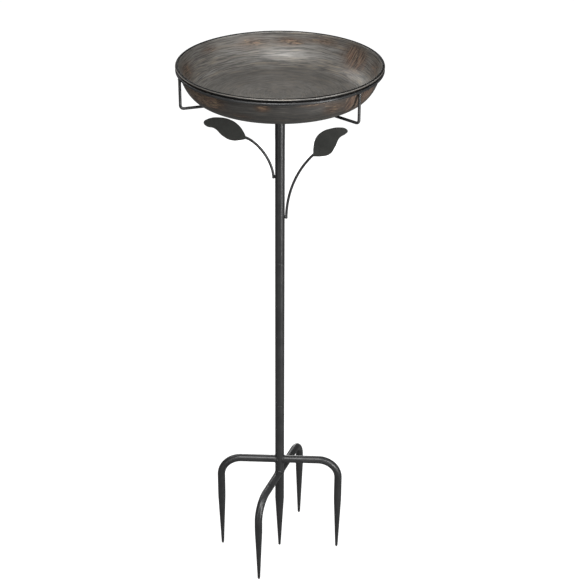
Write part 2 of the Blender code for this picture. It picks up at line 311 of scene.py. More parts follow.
# The turn about the pole in degrees from +X, and the radius of the bend.
PRONGS = {
    "right": (-2.5, ROD_BEND),
    "left": (177.5, ROD_BEND),
    "front": (-110.2, ROD_BEND),
    "back": (69.8, BACK_ROD_BEND),
}

# A prong's radius at heights above its point: the blunt tip, the long taper and the full rod.
PRONG_SHAPE = [
    (0.0, 0.0011),
    (0.0004, 0.0018),
    (0.0012, 0.0023),
    (ROD_TAPER - TAPER_EASE, 0.975 * ROD_RADIUS),
    (ROD_TAPER + TAPER_EASE, ROD_RADIUS),
]


def turned_flat(out, side, up, turn):
    """Turns (out, side, up) points about the pole's axis by degrees."""
    angle = math.radians(turn)
    x = out * math.cos(angle) - side * math.sin(angle)
    y = out * math.sin(angle) + side * math.cos(angle)
    return np.stack([x, y, up], axis=-1)


def swept(path, radii, turn, columns=40):
    """A round bar along a path of (out, up) points in an upright plane through the pole's axis.

    With n the path's normal in that plane, a point is path + r cos(f) n + r sin(f) sideways, and then
    all of it is turned about the axis by degrees.
    """
    path = np.asarray(path, float)
    along = np.gradient(path, axis=0)
    along /= np.linalg.norm(along, axis=1, keepdims=True)
    around = np.linspace(0.0, 2.0 * np.pi, columns, endpoint=False)
    reach = np.outer(radii, np.cos(around))
    out = path[:, :1] - along[:, 1:] * reach
    up = path[:, 1:] + along[:, :1] * reach
    side = np.outer(radii, np.sin(around))
    return turned_flat(out, side, up, turn)


def bend_down(reach, level, radius, start, foot, way, spacing=0.003):
    """The centre line from start out along a level, round a quarter circle and up or down to foot."""
    arc = np.radians(np.linspace(0.0, 90.0, 25))
    out = reach - radius + radius * np.sin(arc)
    up = level + way * radius * (1.0 - np.cos(arc))
    bend = np.stack([out, up], axis=1)
    return with_rows(np.vstack([[(start, level)], bend, [(reach, foot)]]), spacing)


def coped(grid, turn, room):
    """Holds the points of a bar off the pole: out is at least sqrt(room^2 - side^2) for each of them."""
    angle = math.radians(turn)
    out = grid[..., 0] * math.cos(angle) + grid[..., 1] * math.sin(angle)
    side = grid[..., 1] * math.cos(angle) - grid[..., 0] * math.sin(angle)
    clear = np.sqrt(np.maximum(room**2 - side**2, 0.0))
    return turned_flat(np.maximum(out, clear), side, grid[..., 2], turn)


def fillet_weld(turn, level, bar, post, size, ripples, start, columns=14, rows=96):
    """The bead round a bar's end on an upright post, with c = cos f and s = sin f round the bar.

    Its middle follows the line where both surfaces meet, (sqrt(post^2 - bar^2 s^2), bar s, level + bar c),
    and its round section leans between the bar's outward and radial directions. It swells at each ripple.
    """
    around = np.linspace(0.0, 2.0 * np.pi, rows, endpoint=False)[:, None]
    section = np.linspace(0.0, 2.0 * np.pi, columns, endpoint=False)[None, :]
    rippled = RIPPLE_HEIGHT * np.abs(np.sin(0.5 * ripples * around + start))
    uneven = UNEVENNESS * np.sin(2.0 * around + 3.0 * start)
    swell = 1.0 + rippled + uneven
    lift = size * swell * np.sin(section)
    out = np.sqrt(post**2 - (bar * np.sin(around)) ** 2) + size * swell * np.cos(section)
    side = (bar + lift) * np.sin(around)
    up = level + (bar + lift) * np.cos(around)
    return turned_flat(out, side, up, turn)


for number, (name, (turn, bend_radius)) in enumerate(PRONGS.items()):
    low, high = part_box("prong_" + name)
    level = high.z - ROD_RADIUS
    bent = bend_down(PRONG_REACH, level, bend_radius, tube_radius + 2.0 * FIT, low.z, -1)
    line = np.vstack([[(0.0, level)], bent])  # the first row is all coped, to lie on the pole
    height = line[:, 1] - low.z
    rod = swept(line, np.interp(height, *np.transpose(PRONG_SHAPE)), turn)
    skin(
        "stake_prong_" + name, coped(rod, turn, tube_radius + FIT), "ground_stake", "black_powder_coat",
        black_coat, ["prong_" + name], rub=POINT_RUB * np.exp(-height / PRONG_RUB_HEIGHT),
    )
    bead = fillet_weld(
        turn, level, ROD_RADIUS, tube_radius, PRONG_WELD, PRONG_WELD_RIPPLES, PRONG_STARTS * number
    )
    skin(
        "prong_weld_" + name, bead, "ground_stake", "black_powder_coat", black_coat,
        ring=True, rub=PRONG_WELD_RUB,
    )


# ---- Joining sleeves ---------------------------------------------------------------------------------
# Two short lengths of plain drawn steel tube, pressed halfway into the pole below each joint.
# The next length of pole slides over the upper half, so they are never painted.

SLEEVE_WALL = 0.0012
SLEEVE_EASE = 0.0004
SLEEVE_COLUMNS = 72
DRAW_LINES = 3200.0  # in a metre across the tube
DRAW_STRETCH = 0.02  # of the lines' pattern along it
BLOOM = 120.0  # patches of grey bloom in a metre
BRIGHT_STEEL = (0.40, 0.40, 0.41)
GREY_STEEL = (0.24, 0.235, 0.23)
DRAW_RELIEF = 0.00003


def drawn_steel_material():
    """Bare drawn tube: fine lines along the pole, which are noise drawn out along Z, and thin grey bloom."""
    material, tree, shader = new_material("drawn_steel")
    where = node(tree, "TexCoord").outputs["Object"]
    drawn = node(tree, "Mapping", {"Vector": where, "Scale": (1.0, 1.0, DRAW_STRETCH)}).outputs["Vector"]
    lines = noise(tree, drawn, DRAW_LINES, 3.0)
    bloom = ramp(tree, noise(tree, where, BLOOM, 4.0), 0.42, 0.68)
    gloss = math_node(tree, "MULTIPLY_ADD", lines, 0.18, ramp(tree, bloom, 0.0, 1.0, 0.22, 0.38))
    bump = node(tree, "Bump", {"Height": lines, "Distance": DRAW_RELIEF})
    colour = blend(tree, bloom, BRIGHT_STEEL, GREY_STEEL)
    surface = {"Base Color": colour, "Roughness": gloss, "Normal": bump.outputs["Normal"], "Metallic": 1.0}
    connect(tree, shader, surface)
    return material


drawn_steel = drawn_steel_material()
for name, body in (("lower", "ground_stake"), ("upper", "middle_section")):
    low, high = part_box(name + "_joint_sleeve")
    inner = high.x - SLEEVE_WALL
    corners = [(high.x, high.z), (high.x, low.z), (inner, low.z), (inner, high.z)]
    grid = turned(eased(corners, SLEEVE_EASE, closed=True), SLEEVE_COLUMNS)
    skin(name + "_sleeve", grid, body, "plain_steel", drawn_steel, [name + "_joint_sleeve"], ring=True)


# ---- Middle and upper pole ---------------------------------------------------------------------------
# Two more lengths of the same black coated tube, cut square and lightly deburred at both ends.
# The upper one carries the leaves on its sides and the dish's holder on its top.

POLE_ROWS = 0.006
END_RUB = 0.62
END_RUB_HEIGHT = 0.0008

for name, body in (("middle", "middle_section"), ("upper", "upper_section")):
    low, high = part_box(name + "_pole")
    corners = [(tube_radius, high.z), (tube_radius, low.z), (bore_radius, low.z), (bore_radius, high.z)]
    edge = eased(corners, EDGE_EASE, closed=True)
    profile = with_rows(np.vstack([edge, edge[:1]]), POLE_ROWS)[:-1]
    end_distance = np.minimum(np.abs(profile[:, 1] - low.z), np.abs(profile[:, 1] - high.z))
    skin(
        "pole_" + name, turned(profile), body, "black_powder_coat", black_coat, [name + "_pole"],
        ring=True, rub=END_RUB * np.exp(-end_distance / END_RUB_HEIGHT),
    )


# ---- Leaf stems --------------------------------------------------------------------------------------
# Two lengths of round wire, each welded by its foot to the side of the upper pole, that curve out
# and run on behind their leaves. Coated black with the pole.

STEM_RADIUS = 0.0022
STEM_TAIL = 0.0140
STEM_FOOT_EASE = 0.0004
WIRE_COLUMNS = 28
STEMS = {
    "left": {"turn": 180.0, "side": -1, "rise": 0.0258, "lean": (0.0205, 0.0597), "end": (0.0435, 0.0700)},
    "right": {"turn": 0.0, "side": 1, "rise": 0.0400, "lean": (0.0128, 0.0845), "end": (0.0465, 0.1162)},
}
STEM_WELD_OUT = 0.0010  # of the weld's middle from the pole's surface
STEM_WELD_UP = 0.0028  # and above the stem's foot
STEM_WELD_HALF = (0.0020, 0.0027, 0.0027)  # half of the weld's size
WIRE_RUB = 0.1
SPOT_RUB = 0.15
stem_root = tube_radius + FIT + STEM_RADIUS


def cubic(t, first, second, third, last):
    """The cubic curve (1-t)^3 first + 3t(1-t)^2 second + 3t^2(1-t) third + t^3 last."""
    leaving = (1 - t) ** 3 * first + 3 * t * (1 - t) ** 2 * second
    return leaving + 3 * t**2 * (1 - t) * third + t**3 * last


def stem_line(stem, steps=70):
    """One cubic curve from the foot to behind the leaf, and a straight tail after it."""
    ends = np.array([(0.0, 0.0), (0.0, stem["rise"]), stem["lean"], stem["end"]])
    curve = cubic(np.linspace(0.0, 1.0, steps)[:, None], *ends)
    way = (ends[3] - ends[2]) / np.linalg.norm(ends[3] - ends[2])
    tail = ends[3] + way * np.linspace(0.0, STEM_TAIL, 8)[1:, None]
    return np.vstack([curve, tail])


def round_ends(line, radius, foot, tip, steps=6):
    """A wire's points and its radius at each of them, with the edge of both its ends rounded.

    An edge is a quarter circle of radius e: at s from the end, the wire's radius is less by
    e - sqrt(e^2 - (e - s)^2). An end whose edge is as large as the wire's radius is half a ball.
    """
    distance = np.concatenate([[0.0], np.cumsum(np.linalg.norm(np.diff(line, axis=0), axis=1))])
    ease = 1.0 - np.cos(np.radians(np.linspace(12.0, 90.0, steps)))
    stops = np.unique(np.concatenate([distance, foot * ease, distance[-1] - tip * ease]))
    into_foot = np.clip(foot - stops, 0.0, foot)
    into_tip = np.clip(tip - (distance[-1] - stops), 0.0, tip)
    thickness = radius - foot - tip + np.sqrt(foot**2 - into_foot**2) + np.sqrt(tip**2 - into_tip**2)
    points = np.stack([np.interp(stops, distance, line[:, k]) for k in (0, 1)], axis=1)
    return points, np.maximum(thickness, 0.15 * radius)


def blob(centre, half, lumps, columns=40, rows=24):
    """A lump of weld: an ellipsoid whose radius swells by sines of its turn a and its height b."""
    a = np.linspace(0.0, 2.0 * np.pi, columns, endpoint=False)[None, :]
    b = np.linspace(-0.49 * np.pi, 0.49 * np.pi, rows)[:, None]
    swell = 1.0 + 0.09 * np.sin(3.0 * a + lumps) * np.cos(b) + 0.07 * np.sin(5.0 * b + 2.0 * lumps)
    unit = np.stack([np.cos(a) * np.cos(b), np.sin(a) * np.cos(b), np.sin(b) + 0.0 * a], axis=-1)
    return np.asarray(centre) + np.asarray(half) * unit * swell[..., None]


for number, (name, stem) in enumerate(STEMS.items()):
    low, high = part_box("leaf_stem_" + name)
    stem["foot"] = low.z
    line, thickness = round_ends(
        stem_line(stem) + (stem_root, low.z), STEM_RADIUS, STEM_FOOT_EASE, STEM_RADIUS
    )
    skin(
        "stem_" + name, swept(line, thickness, stem["turn"], WIRE_COLUMNS), "upper_section",
        "black_powder_coat", black_coat, ["leaf_stem_" + name], rub=WIRE_RUB,
    )
    spot = (stem["side"] * (tube_radius + STEM_WELD_OUT), 0.0, low.z + STEM_WELD_UP)
    skin(
        "stem_weld_" + name, blob(spot, STEM_WELD_HALF, number), "upper_section", "black_powder_coat",
        black_coat, rub=SPOT_RUB,
    )


# ---- Leaves ------------------------------------------------------------------------------------------
# Each leaf is stamped from flat sheet, tumbled so that its edges are soft, and spot welded to the front
# of its stem near its sharp foot. The coat dries a little greener and flatter on the broad faces.

LEAF_SHEET = 0.0015
LEAF_EDGE = 0.0006  # radius of its edge
LEAF_LINES = (0.0009, 0.0014, 0.0022)  # rows on the flat faces, in from the outline
LEAF_LINE_RUB_AND_HIGHLIGHT = 0.60  # along a line just inside the edge: a rubbed line that is also a painted highlight of the rounded edge
LEAF_LINE_INSET = 0.0012
LEAF_LINE_WIDTH = 0.0004
LEAF_WELD_OUT = 0.0070  # of the weld's middle from the stem's end
LEAF_WELD_UP = 0.0035
LEAF_WELD_HALF = (0.0018, 0.0005, 0.0012)
LEAF_WELD_RUB = 0.45

# The outline of each leaf, outwards and upwards from its stem's root, starting at its sharp foot.
LEAVES = {
    "left": [
        (0.0425, 0.0697), (0.0471, 0.0812), (0.0549, 0.0927), (0.0680, 0.1019), (0.0865, 0.1058),
        (0.1033, 0.1033), (0.1105, 0.0973), (0.1065, 0.0910), (0.0940, 0.0872), (0.0805, 0.0741),
        (0.0665, 0.0667), (0.0535, 0.0670),
    ],
    "right": [
        (0.0429, 0.1114), (0.0427, 0.1264), (0.0467, 0.1432), (0.0564, 0.1538), (0.0699, 0.1593),
        (0.0844, 0.1612), (0.0940, 0.1592), (0.0973, 0.1547), (0.0942, 0.1504), (0.0853, 0.1442),
        (0.0777, 0.1279), (0.0693, 0.1153), (0.0559, 0.1114),
    ],
}
leaf_coat = powder_coat(
    "leaf_coat",
    deep=(0.0135, 0.0142, 0.0122),
    pale=(0.0205, 0.0212, 0.0180),
    rubbed=(0.085, 0.085, 0.078),
    roughness=0.52,
    patches=45.0,
)


def leaf_outline(points, steps=10):
    """A smooth closed curve through the points with a corner at the first.

    Each span is a cubic curve whose handles lie along the sum of the unit directions to both neighbours,
    at 1 / 2.5614 of the span for two equal spans in line; at the corner they point at the next point.
    """
    points = np.asarray(points, float)
    back = points - np.roll(points, 1, axis=0)
    ahead = np.roll(points, -1, axis=0) - points
    back_length = np.linalg.norm(back, axis=1, keepdims=True)
    ahead_length = np.linalg.norm(ahead, axis=1, keepdims=True)
    way = back / back_length + ahead / ahead_length
    size = np.linalg.norm(way, axis=1, keepdims=True) * 2.5614
    leave = points + way * ahead_length / size
    arrive = points - way * back_length / size
    leave[0] = points[0] + ahead[0] / 3.0
    arrive[0] = points[0] - back[0] / 3.0
    t = np.linspace(0.0, 1.0, steps, endpoint=False)[None, :, None]
    end = np.roll(points, -1, axis=0)[:, None]
    handle = np.roll(arrive, -1, axis=0)[:, None]
    return cubic(t, points[:, None], leave[:, None], handle, end).reshape(-1, 2)


def plate(outline, half, edge, lines):
    """The rows of a flat plate with a rounded edge, from its front face over the edge to its back face.

    A row is the outline moved inwards along its own normal by an inset, which shrinks near the sharp foot,
    and lies at a depth: both follow a quarter circle at each edge. The lines are insets on the flat faces.
    """
    along = np.roll(outline, -1, axis=0) - np.roll(outline, 1, axis=0)
    along /= np.linalg.norm(along, axis=1, keepdims=True)
    inward = np.stack([along[:, 1], -along[:, 0]], axis=1)
    foot_distance = np.linalg.norm(outline - outline[0], axis=1, keepdims=True)
    inward = inward * np.clip(foot_distance / (3.0 * max(lines)), 0.25, 1.0)
    turn = np.radians(np.linspace(0.0, 90.0, 6))
    inset = np.concatenate([sorted(lines, reverse=True), edge * (1.0 - np.sin(turn))])
    depth = np.concatenate([np.full(len(lines), half), half - edge * (1.0 - np.cos(turn))])
    inset = np.concatenate([inset, inset[::-1]])
    depth = np.concatenate([depth, -depth[::-1]])
    return inset, depth, outline[None] + inset[:, None, None] * inward[None]


for number, (name, stem) in enumerate(STEMS.items()):
    low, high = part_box("leaf_" + name)
    inset, depth, flat = plate(leaf_outline(LEAVES[name]), LEAF_SHEET / 2.0, LEAF_EDGE, LEAF_LINES)
    x = stem["side"] * (stem_root + flat[..., 0])
    y = np.broadcast_to((low.y + high.y) / 2.0 - depth[:, None], x.shape)
    # A rubbed line just inside the edge is also a painted highlight of the rounded edge.
    skin(
        "leaf_plate_" + name, np.stack([x, y, stem["foot"] + flat[..., 1]], axis=-1), "upper_section",
        "leaf_powder_coat", leaf_coat, ["leaf_" + name],
        rub=LEAF_LINE_RUB_AND_HIGHLIGHT * np.exp(-(((inset - LEAF_LINE_INSET) / LEAF_LINE_WIDTH) ** 2)),
    )
    spot_x = stem["side"] * (stem_root + stem["end"][0] + LEAF_WELD_OUT)
    spot = (spot_x, low.y, stem["foot"] + stem["end"][1] + LEAF_WELD_UP)
    skin(
        "leaf_weld_" + name, blob(spot, LEAF_WELD_HALF, 2.0 + number), "upper_section",
        "leaf_powder_coat", leaf_coat, rub=LEAF_WELD_RUB,
    )


# ---- Holder's socket ---------------------------------------------------------------------------------
# A short capped sleeve that drops over the pole's top and carries the three arms.
# It is turned from thick tube with a welded cap, and coated black.

SOCKET_CHAMFER = 0.0008
SOCKET_CAP = 0.0040
SOCKET_EASE = 0.00035
SOCKET_ROWS = 0.003
SOCKET_RUB = 0.5  # at its outer edges
SOCKET_RUB_HEIGHT = 0.001
BORE_RUB = 0.1

low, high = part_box("holder_socket")
socket_radius = high.x
socket_bore = tube_radius + FIT
corners = [
    (OUTER_CAP, high.z),
    (socket_radius - SOCKET_CHAMFER, high.z),
    (socket_radius, high.z - SOCKET_CHAMFER),
    (socket_radius, low.z + SOCKET_CHAMFER),
    (socket_radius - SOCKET_CHAMFER, low.z),
    (socket_bore, low.z),
    (socket_bore, high.z - SOCKET_CAP),
    (OUTER_CAP, high.z - SOCKET_CAP),
]
profile = with_rows(eased(corners, SOCKET_EASE), SOCKET_ROWS)
edge_distance = np.minimum(np.abs(profile[:, 1] - low.z), np.abs(profile[:, 1] - high.z))
edge_rub = SOCKET_RUB * np.exp(-edge_distance / SOCKET_RUB_HEIGHT)
rub = np.where(profile[:, 0] > socket_bore + SOCKET_CHAMFER / 2.0, edge_rub, BORE_RUB)
skin("socket_cap", turned(profile), "holder", "black_powder_coat", black_coat, ["holder_socket"], rub=rub)


# ---- Holder's arms and ring --------------------------------------------------------------------------
# Round wire: three arms welded to the socket run out under the dish and turn up to a ring, which is
# bent from the same wire and butt welded. The ring carries the dish by its bead.

WIRE_RADIUS = 0.0023
ARM_BEND = 0.0055
ARM_ROWS = 0.004
RING_COLUMNS = 288
RING_SIDES = 20
ARM_TURNS = {"left": 197.4, "right": 318.0, "back": 78.0}
ARM_WELD = 0.0009
ARM_WELD_RIPPLES = 9
ARM_STARTS = 0.7
BRIDGE_DROP = 0.0002  # of the weld between an arm and the ring, below the arm's top
BRIDGE_HALF = (0.0029, 0.0029, 0.0017)
BUTT_TURN = 100.0  # where the ring's ends meet, in degrees
BUTT_SWELL = 0.28
BUTT_WIDTH = 0.9  # in degrees
RING_RUB = 0.14
RING_LINE_RUB_AND_HIGHLIGHT = 0.45  # along the line where the dish's bead rubs it, which also serves as a painted highlight
RING_LINE_TURN = 66.0  # degrees above the ring's outermost line

ring_low, ring_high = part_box("holder_ring")
ring_level = (ring_low.z + ring_high.z) / 2.0
ring_radius = ring_high.x - WIRE_RADIUS
around = np.radians(np.linspace(0.0, 360.0, RING_SIDES, endpoint=False))
section = np.stack([WIRE_RADIUS * np.cos(around), WIRE_RADIUS * np.sin(around)], axis=1)
grid = turned(section + (ring_radius, ring_level), RING_COLUMNS)
turn = np.degrees(np.arctan2(grid[..., 1], grid[..., 0]))
swell = 1.0 + BUTT_SWELL * np.exp(-(((turn - BUTT_TURN) / BUTT_WIDTH) ** 2))
middle = grid.mean(axis=0, keepdims=True)
grid = middle + (grid - middle) * swell[..., None]
# The ring's rubbed line is also a painted highlight.
rub = RING_RUB + RING_LINE_RUB_AND_HIGHLIGHT * np.maximum(np.cos(around - math.radians(RING_LINE_TURN)), 0.0) ** 4
skin("ring_wire", grid, "holder", "black_powder_coat", black_coat, ["holder_ring"], ring=True, rub=rub)

for number, (name, turn) in enumerate(ARM_TURNS.items()):
    low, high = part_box("holder_arm_" + name)
    level = low.z + WIRE_RADIUS
    line = bend_down(ring_radius, level, ARM_BEND, socket_radius + FIT, high.z, 1, ARM_ROWS)
    wire = swept(line, np.full(len(line), WIRE_RADIUS), turn, WIRE_COLUMNS)
    skin(
        "arm_wire_" + name, wire, "holder", "black_powder_coat", black_coat, ["holder_arm_" + name],
        rub=WIRE_RUB,
    )
    bead = fillet_weld(
        turn, level, WIRE_RADIUS, socket_radius, ARM_WELD, ARM_WELD_RIPPLES, ARM_STARTS * number
    )
    skin("arm_weld_" + name, bead, "holder", "black_powder_coat", black_coat, ring=True, rub=SPOT_RUB)
    angle = math.radians(turn)
    top = (ring_radius * math.cos(angle), ring_radius * math.sin(angle), high.z - BRIDGE_DROP)
    bridge = blob(top, BRIDGE_HALF, 1.0 + number)
    skin("ring_weld_" + name, bridge, "holder", "black_powder_coat", black_coat, rub=SPOT_RUB)


# ---- Dish --------------------------------------------------------------------------------------------
# Spun from thin steel sheet, with its edge rolled outwards into a bead that rests on the ring.
# It is enamelled dark bronze and dry brushed by hand with copper and tan, mostly round the wall. Its inside
# is painted lighter for the light falling into it, and its bead has painted shade and a painted highlight.

SHEET = 0.0008
BEAD_RADIUS = 0.0029
FLOOR_RADIUS = 0.1020
WALL_SPREAD = 3.4  # the wall is a superellipse: this power outwards
WALL_RISE = 1.45  # and this one downwards
DISH_COLUMNS = 400
FLOOR_ROWS = 24
FLOOR_CAP = 0.002  # radius of the small face that closes the floor on the axis

dish_low, dish_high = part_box("bowl")
bead_level = dish_high.z - BEAD_RADIUS
bead_centre = dish_high.x - BEAD_RADIUS
wall_radius = bead_centre - BEAD_RADIUS + SHEET


def wall(top_radius, bottom, top, steps=44):
    """The wall from the floor's edge to the rim, a superellipse.

    At a, it has gone sin(a)^(2 / spread) of the way outwards and is cos(a)^(2 / rise) of its height down.
    """
    a = np.radians(np.linspace(0.0, 90.0, steps))
    out = np.sin(a) ** (2.0 / WALL_SPREAD)
    down = np.maximum(np.cos(a), 0.0) ** (2.0 / WALL_RISE)
    return np.stack([FLOOR_RADIUS + (top_radius - FLOOR_RADIUS) * out, top - (top - bottom) * down], axis=1)


bead_end = -math.acos((wall_radius - bead_centre) / BEAD_RADIUS)
wall_top = bead_level + BEAD_RADIUS * math.sin(bead_end)
roll = np.linspace(math.pi, bead_end, 26)
bead = np.stack([bead_centre + BEAD_RADIUS * np.cos(roll), bead_level + BEAD_RADIUS * np.sin(roll)], axis=1)
floor_radii = np.linspace(FLOOR_CAP, FLOOR_RADIUS, FLOOR_ROWS, endpoint=False)
inner_floor = np.stack([floor_radii, np.full(FLOOR_ROWS, dish_low.z + SHEET)], axis=1)
outer_floor = np.stack([floor_radii[::-1], np.full(FLOOR_ROWS, dish_low.z)], axis=1)
inside = wall(wall_radius - SHEET, dish_low.z + SHEET, wall_top)
outside = wall(wall_radius, dish_low.z, wall_top)[::-1]
dish_profile = np.vstack([inner_floor, inside, bead[:-1], outside, outer_floor])
bead_start = len(inner_floor) + len(inside)
is_outside = np.arange(len(dish_profile)) >= bead_start + len(bead) // 2
arc = np.concatenate([[0.0], np.cumsum(np.linalg.norm(np.diff(dish_profile, axis=0), axis=1))])
dish_grid = turned(dish_profile, DISH_COLUMNS)
dish_turn = np.degrees(np.arctan2(dish_grid[..., 1], dish_grid[..., 0]))
share_up = (dish_profile[:, 1] - dish_low.z) / (bead_level - dish_low.z)

# Where the brush touched: outside or inside, the turn about the pole and the share up the wall of the
# middle of a touch, its width in degrees, its height as a share, its strength, and its stroke.
TOUCHES = [
    ("outside", -148.0, 0.72, 13.0, 0.42, 1.00, "round"),
    ("outside", -131.0, 0.66, 10.0, 0.30, 0.95, "round"),
    ("outside", -112.0, 0.34, 8.0, 0.14, 0.45, "round"),
    ("outside", -99.3, 0.71, 4.6, 0.12, 1.00, "round"),
    ("outside", -72.0, 0.84, 9.0, 0.12, 0.80, "round"),
    ("outside", -58.0, 0.56, 8.0, 0.26, 0.70, "round"),
    ("outside", -43.0, 0.62, 9.0, 0.42, 1.00, "upright"),
    ("outside", -29.0, 0.66, 8.0, 0.36, 0.85, "upright"),
    ("outside", 12.0, 0.65, 18.0, 0.30, 0.75, "round"),
    ("outside", 48.0, 0.55, 10.0, 0.34, 0.80, "upright"),
    ("outside", 76.0, 0.70, 12.0, 0.25, 0.85, "round"),
    ("outside", 118.0, 0.55, 13.0, 0.38, 0.85, "upright"),
    ("outside", 141.0, 0.54, 9.0, 0.20, 0.75, "round"),
    ("outside", 168.0, 0.70, 14.0, 0.30, 0.85, "round"),
    ("inside", 168.0, 0.56, 13.0, 0.34, 0.66, "round"),
    ("inside", 138.0, 0.78, 9.0, 0.16, 0.55, "round"),
    ("inside", 109.0, 0.72, 13.0, 0.24, 0.62, "round"),
    ("inside", 84.0, 0.74, 9.0, 0.16, 0.78, "round"),
    ("inside", 62.0, 0.84, 12.0, 0.16, 0.70, "round"),
    ("inside", 37.0, 0.60, 13.0, 0.40, 0.95, "upright"),
    ("inside", 12.0, 0.60, 12.0, 0.30, 0.55, "round"),
    ("inside", -38.0, 0.55, 14.0, 0.36, 0.75, "upright"),
    ("inside", -92.0, 0.62, 26.0, 0.30, 0.70, "round"),
    ("inside", -140.0, 0.58, 15.0, 0.34, 0.72, "round"),
]
THIN_COVER = 0.06  # of brushed paint everywhere
BRISTLES = 2.7  # marks of single bristles in a stroke
BREAKS = 0.31  # places where the paint runs out
TINTS = 0.53  # and where it changes its tint
DRY_LEVEL = 0.82  # what a streak has to reach to show where there is no cover
COVER_HELP = -0.37  # and how much less under full cover


def brushed(stroke):
    """How much of that stroke lies at each point: a sum of bell curves in the turn and in the height."""
    total = np.full(dish_turn.shape, THIN_COVER)
    for face, turn, up, width, height, strength, kind in TOUCHES:
        if kind == stroke:
            away = (dish_turn - turn + 180.0) % 360.0 - 180.0
            across = np.exp(-((away / width) ** 2))
            along = np.exp(-(((share_up - up) / height) ** 2)) * (is_outside == (face == "outside"))
            total = total + strength * across * along[:, None]
    return np.minimum(total, 1.0)


def brush_stroke_group():
    """Paint left by a nearly dry brush.

    Vector runs along the stroke slowly and across it quickly, and Cover is how much paint there is. Stroke
    is the paint itself from 0 to 1, Glaze its thin wash, Gap the dark enamel left between strokes and Tone
    the paint's tint.
    """
    group, given, leave = new_group("brush_stroke", ("Vector", "Cover"), ("Stroke", "Glaze", "Gap", "Tone"))
    where, cover = given["Vector"], given["Cover"]
    streak = noise(group, where, 1.0, 2.0, 0.55)
    bristle = noise(group, where, BRISTLES, 2.0, 0.6)
    breaks = noise(group, where, BREAKS, 2.0)
    need = math_node(group, "MULTIPLY_ADD", cover, COVER_HELP, DRY_LEVEL)
    level = math_node(group, "MULTIPLY_ADD", breaks, 0.20, math_node(group, "MULTIPLY", streak, 0.90))
    laid = ramp(group, math_node(group, "SUBTRACT", level, need), 0.0, 0.14)
    split = ramp(group, bristle, 0.34, 0.60, 0.15, 1.0)
    wash = math_node(group, "MULTIPLY_ADD", streak, 0.5, math_node(group, "MULTIPLY", breaks, 0.5))
    washed = ramp(group, cover, 0.15, 0.85)
    bare = ramp(group, streak, 0.50, 0.38)
    connect(group, leave, {
        "Stroke": math_node(group, "MULTIPLY", laid, split),
        "Glaze": math_node(group, "MULTIPLY", washed, ramp(group, wash, 0.30, 0.62, 0.45, 1.0)),
        "Gap": math_node(group, "MULTIPLY", ramp(group, cover, 0.20, 0.80), bare),
        "Tone": ramp(group, noise(group, where, TINTS, 1.0), 0.38, 0.62),
    })
    return group


# How many strokes fit round the dish and in a metre up its wall, and how far they lean, in radians for
# each metre up: of the round brushing, of the upright brushing and of the hairlines in the enamel.
ROUND_STROKES = (15.0, 720.0, 0.0)
UPRIGHT_STROKES = (86.0, 62.0, 2.2)
HAIRLINES = (4.6, 640.0, 0.0)
WANDERS = 24.0  # how often the strokes wander, in a metre
WANDER = 0.006  # and how far
ENAMEL_PEEL = 480.0
ENAMEL_PATCHES = 38.0
ENAMEL_RELIEF = 0.00007

# Colours: the enamel outside, and inside where it is painted lighter for the light falling into the dish,
# deep and pale, its hairlines, the washes and dark gaps of the brushing, its paints, the bead's rubbed line,
# which is also a painted highlight, the places worn through, and the painted shade on the bead.
OUTSIDE_DEEP = (0.036, 0.035, 0.033)
OUTSIDE_PALE = (0.052, 0.048, 0.044)
# The inside colours are painted lighter than the outside, as painted light for the light falling into the
# dish.
INSIDE_DEEP = (0.100, 0.097, 0.091)
INSIDE_PALE = (0.160, 0.151, 0.138)
HAIR_GREY = (0.240, 0.232, 0.218)
HAIR_TAN = (0.240, 0.200, 0.150)
HAIR_DARK = (0.024, 0.023, 0.021)
ROUND_WASH = (0.098, 0.062, 0.041)
UPRIGHT_WASH = (0.108, 0.069, 0.050)
GAP_DARK = (0.026, 0.017, 0.013)
COPPER = (0.28, 0.180, 0.130)
TAN = (0.34, 0.255, 0.160)
ROSE = (0.25, 0.155, 0.112)
SAND = (0.33, 0.250, 0.185)
RUBBED_AND_HIGHLIGHT = (0.145, 0.138, 0.125)
WORN = (0.24, 0.225, 0.20)
# Painted shade on the bead, near black:
PAINTED_SHADE_BLACK = (0.006, 0.006, 0.006)


